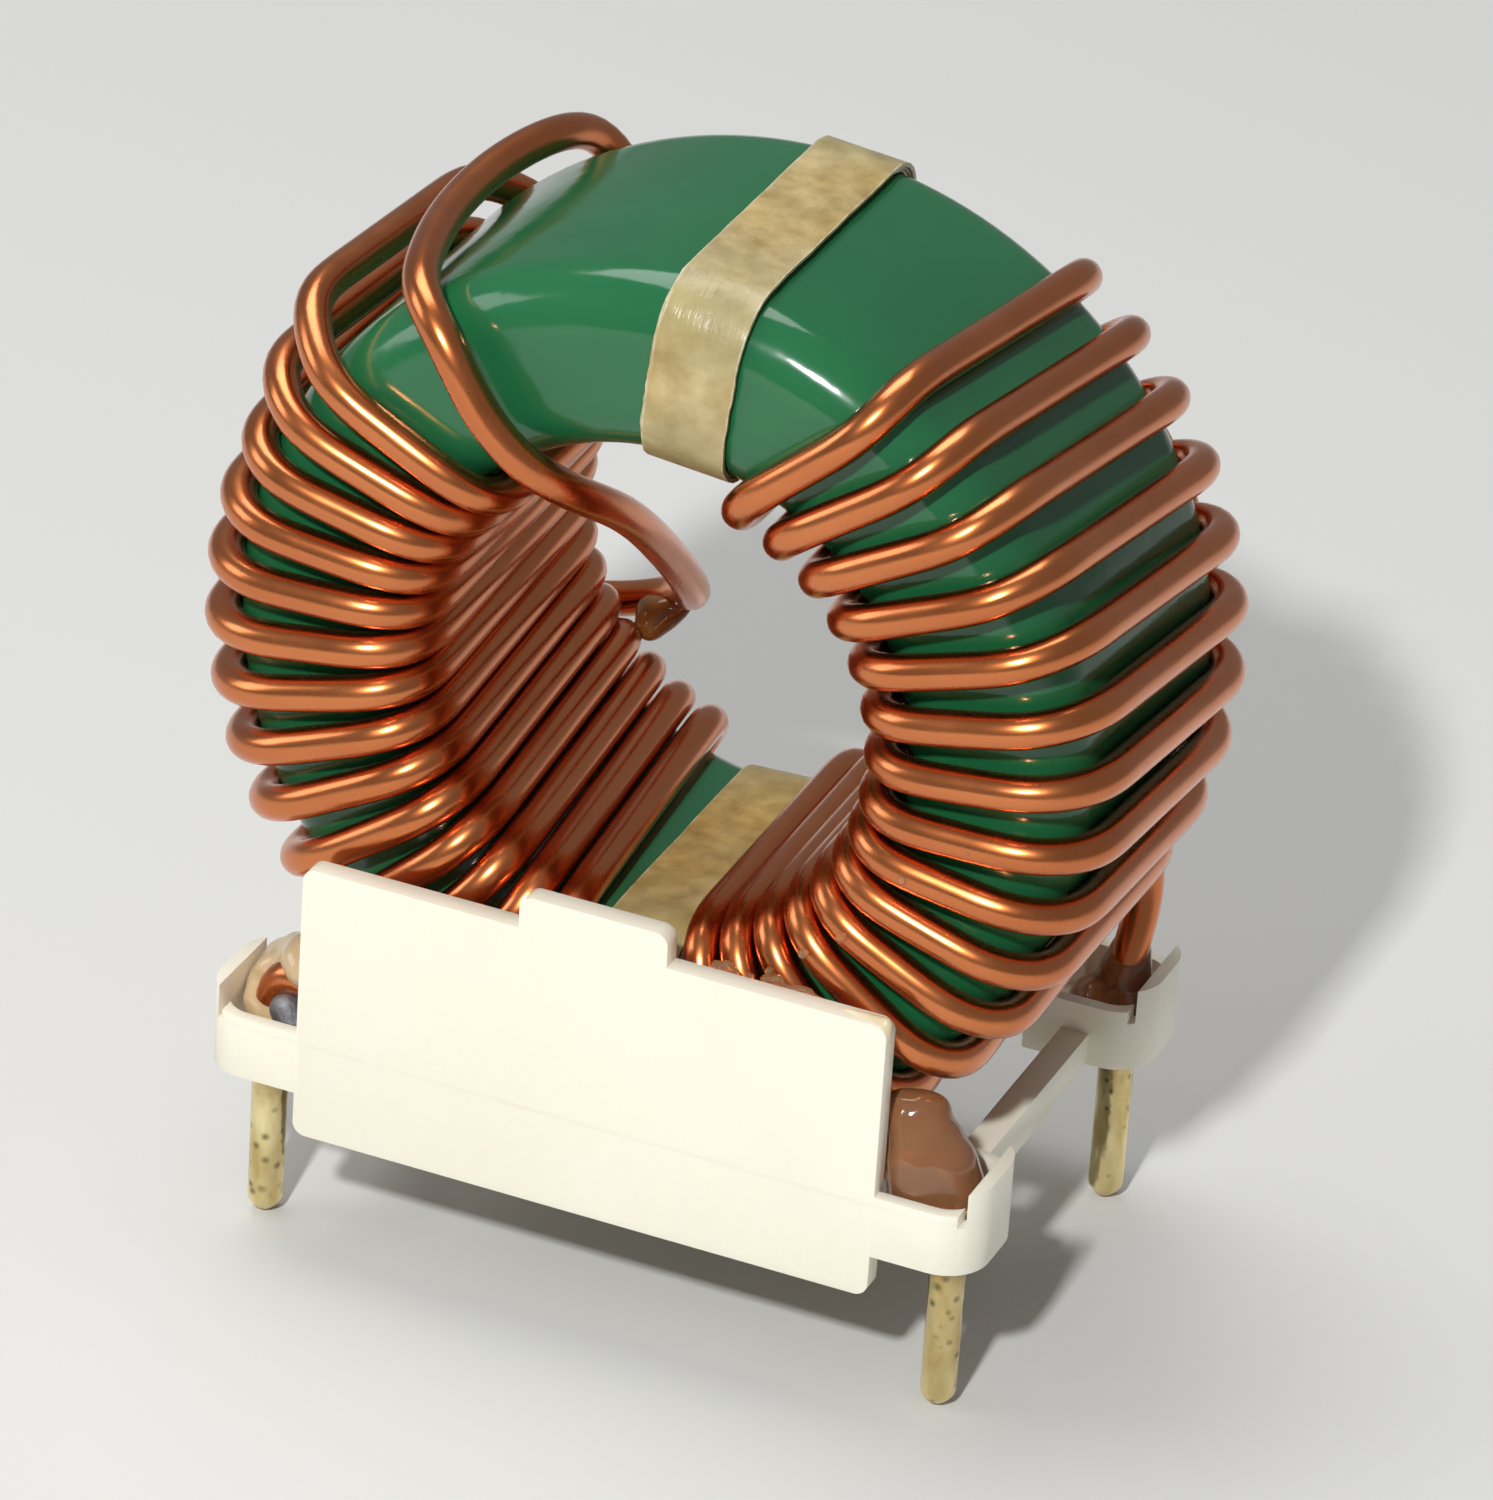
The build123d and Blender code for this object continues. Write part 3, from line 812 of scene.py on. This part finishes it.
# Terminal pins. The stripped wire ends, dipped in solder, which leaves them pale yellow-grey, a
# little uneven, with a worn cone at the tip and dark specks of flux.
pin_bottom = floor_height
pin_sides = 32
pin_waviness = 0.02
pin_waves_round = 3
pin_waves_down = 1500
# Heights between which the pins turn darker brown towards their top.
brown_tint_low = -0.0006
brown_tint_high = 0.0018
tin_shadow = (0.56, 0.40, 0.14, 1)
tin_bright = (0.96, 0.83, 0.46, 1)
tin_pit = (0.12, 0.08, 0.04, 1)
tin_upper_brown = (0.10, 0.07, 0.03, 1)
tin_run_stretch = (1, 1, 0.35)

tin = Finish("solder_tinned_copper", Metallic=1.0, Roughness=0.3)
tin_shade = tin.group(mottle, "Value", stretch=tin_run_stretch, Scale=900.0, Detail=6.0)
tin_colour = tin.mix(tin_shade, tin_shadow, tin_bright)
tin_specks = tin.group(specks, "Mask", Scale=1500.0, Size=0.62)
tin_speckled = tin.mix(tin_specks, tin_colour, tin_pit)
tin_axes = tin.tree.nodes.new("ShaderNodeSeparateXYZ")
# The colour turns a mottled dark brown towards the top of the pin, and fades out further down.
tin_height_ramp = tin.tree.nodes.new("ShaderNodeMapRange")
tin_height_ramp.inputs["From Min"].default_value = brown_tint_low
tin_height_ramp.inputs["From Max"].default_value = brown_tint_high
tin_upper_tint = tin.tree.nodes.new("ShaderNodeMath")
tin_upper_tint.operation = "MULTIPLY"
tin.tree.links.new(tin.place, tin_axes.inputs["Vector"])
tin.tree.links.new(tin_axes.outputs["Z"], tin_height_ramp.inputs["Value"])
tin.tree.links.new(tin_height_ramp.outputs["Result"], tin_upper_tint.inputs[0])
tin.tree.links.new(tin.group(mottle, "Value", Scale=1500.0, Detail=4.0), tin_upper_tint.inputs[1])
tin.feed(tin.mix(tin_upper_tint.outputs["Value"], tin_speckled, tin_upper_brown), "Base Color")
tin.feed(tin.group(mottle, "Value", Scale=500.0, Low=0.12, High=0.28), "Roughness")
tin.feed(tin.bump(tin.group(mottle, "Value", Scale=700.0, Detail=3.0), depth=0.00007), "Normal")


def pin_profile():
    """Height and radius down a pin, from its top in the ear to its worn point."""
    return [
        (pin_top, wire_radius),
        (0.0020, wire_radius),
        (0.0012, wire_radius * 0.99),
        (-0.0020, wire_radius * 0.985),
        (-0.0053, wire_radius * 0.98),
        (-0.0055, wire_radius * 0.93),
        (-0.0057, wire_radius * 0.78),
        (-0.0059, wire_radius * 0.55),
        (-0.00602, wire_radius * 0.34),
        (pin_bottom, wire_radius * 0.12),
    ]


def tinned_pin(name, middle_x, middle_y):
    """One pin: rings of points down the profile, a little uneven under the solder."""
    profile = pin_profile()
    points = []
    for height, radius in profile:
        for step in range(pin_sides):
            angle = 2 * math.pi * step / pin_sides
            wave = (1 + math.sin(pin_waves_round * angle + height * pin_waves_down)) / 2
            uneven = radius * (1 - pin_waviness * wave)
            x = middle_x + uneven * math.cos(angle)
            y = middle_y + uneven * math.sin(angle)
            points.append((x, y, height))
    faces = []
    for ring in range(len(profile) - 1):
        start = ring * pin_sides
        below = start + pin_sides
        for step in range(pin_sides):
            beside = (step + 1) % pin_sides
            faces.append((start + step, below + step, below + beside, start + beside))
    last = (len(profile) - 1) * pin_sides
    faces.append(tuple(range(pin_sides)))
    faces.append(tuple(last + pin_sides - 1 - step for step in range(pin_sides)))
    mesh = bpy.data.meshes.new(name)
    mesh.from_pydata(points, [], faces)
    work = bmesh.new()
    work.from_mesh(mesh)
    bmesh.ops.recalc_face_normals(work, faces=work.faces)
    work.to_mesh(mesh)
    work.free()
    mesh.shade_smooth()
    mesh.set_sharp_from_angle(angle=math.radians(50))
    return mesh


for end, end_name in ((-1, "front"), (1, "rear")):
    for side, side_name in ((-1, "left"), (1, "right")):
        pin_node = "pin_" + end_name + "_" + side_name
        pin_mesh = tinned_pin(pin_node + "_tinned", side * pin_x, end * pin_y)
        pin = link_piece(pin_node + "_tinned", pin_mesh, tin.material, (pin_node,))

# Adhesive. Brown resin is poured round the wire ends and pale resin lies in the front ears; varnish
# beads and a dark dab sit on the wires. Each is run together from lumps, and sticks where it set.
mm_per_metre = 1000
blob_voxel = 0.00012
fine_voxel = 0.00006
blob_smoothing = 30
solder_smoothing = 8
seep_smoothing = 8
film_smoothing = 4
bead_smoothing = 3


def tinted_finish(name, scale, dark, light, **values):
    """A material whose colour drifts softly between two tints."""
    finish = Finish(name, **values)
    shade = finish.group(mottle, "Value", Scale=scale)
    finish.feed(finish.mix(shade, dark, light), "Base Color")
    return finish


resin = tinted_finish(
    "brown_resin", 150.0, (0.24, 0.080, 0.028, 1), (0.56, 0.27, 0.12, 1),
    Roughness=0.06, IOR=1.5, Transmission_Weight=0.5, Coat_Weight=0.5,
)
pale_resin = tinted_finish(
    "beige_resin", 260.0, (0.50, 0.32, 0.15, 1), (0.70, 0.54, 0.33, 1),
    Roughness=0.16, IOR=1.5, Transmission_Weight=0.12, Coat_Weight=0.3,
)
cream_film = tinted_finish(
    "cream_film", 900.0, (0.66, 0.55, 0.34, 1), (0.80, 0.72, 0.50, 1),
    Roughness=0.15, IOR=1.5, Coat_Weight=0.5,
)
varnish = tinted_finish(
    "clear_varnish", 700.0, (0.80, 0.42, 0.20, 1), (0.92, 0.62, 0.36, 1),
    Roughness=0.05, IOR=1.5, Transmission_Weight=0.8,
)
dark_resin = tinted_finish(
    "dark_resin", 500.0, (0.13, 0.045, 0.012, 1), (0.32, 0.13, 0.03, 1),
    Roughness=0.1, IOR=1.52,
)
solder_dark = (0.16, 0.17, 0.19, 1)
solder_light = (0.40, 0.41, 0.43, 1)
solder = Finish("dull_solder", Metallic=1.0, Roughness=0.68)
solder_shade = solder.group(mottle, "Value", Scale=700.0, Detail=4.0)
solder.feed(solder.mix(solder_shade, solder_dark, solder_light), "Base Color")
solder.feed(solder.bump(solder_shade, depth=0.00012), "Normal")


def lump_tree():
    """Soft lumps: spheres grown from points, run together into one smooth skin."""
    tree, entry, leave = new_tree(
        "resin_lumps",
        (
            ("Voxel Size", "NodeSocketFloat"),
            ("Smoothing", "NodeSocketInt"),
            ("Material", "NodeSocketMaterial"),
        ),
    )
    reach = tree.nodes.new("GeometryNodeInputNamedAttribute")
    reach.data_type = "FLOAT"
    reach.inputs["Name"].default_value = "lump_radius"
    points = tree.nodes.new("GeometryNodeMeshToPoints")
    cloud = tree.nodes.new("GeometryNodePointsToVolume")
    cloud.resolution_mode = "VOXEL_SIZE"
    skin = tree.nodes.new("GeometryNodeVolumeToMesh")
    skin.resolution_mode = "VOXEL_SIZE"
    place = tree.nodes.new("GeometryNodeInputPosition")
    soften = tree.nodes.new("GeometryNodeBlurAttribute")
    soften.data_type = "FLOAT_VECTOR"
    settle = tree.nodes.new("GeometryNodeSetPosition")
    tree.links.new(entry.outputs["Geometry"], points.inputs["Mesh"])
    tree.links.new(reach.outputs["Attribute"], points.inputs["Radius"])
    tree.links.new(points.outputs["Points"], cloud.inputs["Points"])
    tree.links.new(reach.outputs["Attribute"], cloud.inputs["Radius"])
    tree.links.new(entry.outputs["Voxel Size"], cloud.inputs["Voxel Size"])
    tree.links.new(cloud.outputs["Volume"], skin.inputs["Volume"])
    tree.links.new(entry.outputs["Voxel Size"], skin.inputs["Voxel Size"])
    tree.links.new(place.outputs["Position"], soften.inputs["Value"])
    tree.links.new(entry.outputs["Smoothing"], soften.inputs["Iterations"])
    tree.links.new(skin.outputs["Mesh"], settle.inputs["Geometry"])
    tree.links.new(soften.outputs["Value"], settle.inputs["Position"])
    finish_tree(tree, entry, leave, settle.outputs["Geometry"])
    return tree


resin_pour = lump_tree()


def resin_blob(name, lumps, material, nodes, voxel=blob_voxel, smoothing=blob_smoothing):
    """One blob of resin from listed lumps, each a place and a radius in millimetres."""
    seed = bpy.data.meshes.new(name + "_lumps")
    places = [tuple(part / mm_per_metre for part in lump[:3]) for lump in lumps]
    seed.from_pydata(places, [], [])
    reach = seed.attributes.new("lump_radius", "FLOAT", "POINT")
    for item, lump in zip(reach.data, lumps):
        item.value = lump[3] / mm_per_metre
    values = {"Voxel Size": voxel, "Smoothing": smoothing, "Material": material}
    mesh = grown_mesh(name, resin_pour, seed, values)
    blob = link_piece(name, mesh, material, nodes)


front_right_lumps = (
    (15.6, -9.4, 3.7, 1.5), (14.6, -9.6, 3.7, 1.5), (15.9, -8.6, 3.7, 1.2), (15.0, -8.4, 3.7, 1.3),
    (15.7, -10.3, 3.7, 1.2), (14.6, -10.6, 3.7, 1.2), (15.7, -9.6, 4.8, 1.5), (14.6, -10.1, 5.0, 1.6),
    (14.4, -10.2, 6.0, 1.5), (15.5, -9.7, 5.8, 1.4), (14.2, -10.1, 6.9, 1.3), (15.0, -9.8, 6.8, 1.25),
    (13.8, -10.1, 7.6, 1.1), (14.5, -9.9, 7.6, 1.05), (13.4, -10.0, 8.0, 0.95), (14.2, -9.8, 8.1, 0.95),
    (14.8, -9.7, 8.2, 0.8),
)
front_right_pool = (
    (16.6, -9.4, 3.9, 0.75), (16.5, -8.6, 3.9, 0.75), (16.3, -10.5, 3.8, 0.75), (15.5, -11.0, 3.7, 0.7),
    (14.5, -11.1, 3.7, 0.7), (16.7, -8.9, 4.6, 0.6), (16.7, -9.8, 4.3, 0.6), (13.9, -11.0, 3.8, 0.6),
)
front_left_lumps = (
    (-15.8, -9.4, 3.6, 1.3), (-14.6, -9.4, 3.5, 1.2), (-16.2, -8.6, 3.6, 1.2), (-15.0, -8.4, 3.6, 1.2),
    (-14.4, -10.4, 3.3, 0.8), (-16.8, -9.8, 4.3, 0.55), (-16.9, -9.2, 4.8, 0.55), (-16.9, -8.6, 5.0, 0.6),
    (-16.8, -8.0, 5.3, 0.6), (-16.5, -8.0, 5.9, 0.6), (-16.0, -8.1, 6.3, 0.6), (-15.4, -8.4, 6.8, 0.65),
    (-14.8, -8.9, 7.1, 0.7), (-14.2, -9.2, 7.2, 0.7), (-16.5, -9.0, 5.6, 0.6), (-15.9, -8.8, 6.0, 0.65),
    (-15.3, -8.9, 6.4, 0.75), (-15.2, -8.6, 5.6, 0.9), (-15.9, -8.6, 5.1, 0.8), (-14.7, -9.5, 6.7, 0.95),
    (-14.3, -9.9, 6.5, 0.9),
)
rear_lumps = (
    (15.8, 9.4, 3.5, 1.5), (14.8, 9.4, 3.5, 1.4), (16.3, 8.6, 3.5, 1.3), (15.2, 8.5, 3.5, 1.2),
    (16.2, 10.4, 3.5, 1.2), (15.8, 9.8, 5.0, 1.3), (15.8, 10.3, 6.0, 1.0),
)
rear_left_lumps = tuple((-x, y, z, radius) for x, y, z, radius in rear_lumps)
resin_blob("resin_front_right", front_right_lumps, resin.material, ("adhesive_front_right",))
resin_blob("resin_pool_front_right", front_right_pool, pale_resin.material, ())
resin_blob("resin_front_left", front_left_lumps, pale_resin.material, ("adhesive_front_left",))
resin_blob("resin_rear_right", rear_lumps, resin.material, ("adhesive_rear_right",))
resin_blob("resin_rear_left", rear_left_lumps, resin.material, ("adhesive_rear_left",))

seep_lumps = (
    (5.0, -10.9, 12.9, 0.34), (5.5, -10.9, 13.0, 0.36), (5.9, -10.9, 12.8, 0.3), (6.6, -10.9, 12.8, 0.3),
    (7.3, -10.9, 12.9, 0.34), (7.8, -10.9, 13.0, 0.36), (8.3, -10.9, 12.7, 0.3), (8.8, -10.9, 12.8, 0.34),
    (9.2, -10.9, 12.8, 0.34), (9.7, -10.9, 12.6, 0.3),
)
resin_blob("resin_seep", seep_lumps, varnish.material, (), smoothing=seep_smoothing)

# Each bead's turn, its place on the front strand as a share of the way out, and its radius in mm
bead_spots = (
    (1, 0.02, 0.26), (2, 0.05, 0.22), (3, 0.05, 0.24), (4, 0.12, 0.26), (6, 0.24, 0.22), (7, 0.6, 0.14),
)
bead_y = -face_strand - 0.9 * wire_radius
bead_lumps = []
for bead_turn, bead_share, bead_radius in bead_spots:
    bead_inner = on_ring(right_bore_angle(bead_turn), bore_strand + bore_bend_setback, bead_y)
    bead_outer = on_ring(right_face_angle(bead_turn), outer_strand - outer_bend_setback, bead_y)
    bead_place = bead_inner.lerp(bead_outer, bead_share) * mm_per_metre
    bead_lumps.append((*bead_place, bead_radius))
resin_blob("varnish_beads", bead_lumps, varnish.material, (), fine_voxel, bead_smoothing)

film_steps = 12
film_lumps = [
    (11.3 + 0.17 * step, -11.75 - 0.02 * step, 12.98 + 0.008 * step, 0.2 + 0.008 * step)
    for step in range(film_steps)
]
film_lumps += [(13.17, -12.0, 12.8, 0.3), (13.2, -12.0, 12.55, 0.26), (13.22, -12.0, 12.3, 0.22)]
resin_blob(
    "resin_plate_corner", film_lumps, cream_film.material, (), fine_voxel, film_smoothing
)

solder_lumps = ((-14.9, -10.2, 4.6, 0.8), (-14.6, -10.3, 4.2, 0.8), (-14.2, -10.3, 4.0, 0.7))
resin_blob("solder_lump", solder_lumps, solder.material, (), smoothing=solder_smoothing)
dab_lumps = (
    (-7.0, 10.0, 16.5, 0.9), (-7.6, 10.3, 16.3, 0.9), (-6.5, 10.2, 16.8, 0.7), (-7.4, 9.5, 16.0, 0.8),
    (-6.1, 10.2, 17.1, 0.5),
)
resin_blob("resin_bore_dab", dab_lumps, dark_resin.material, ("bore_adhesive_dab",))
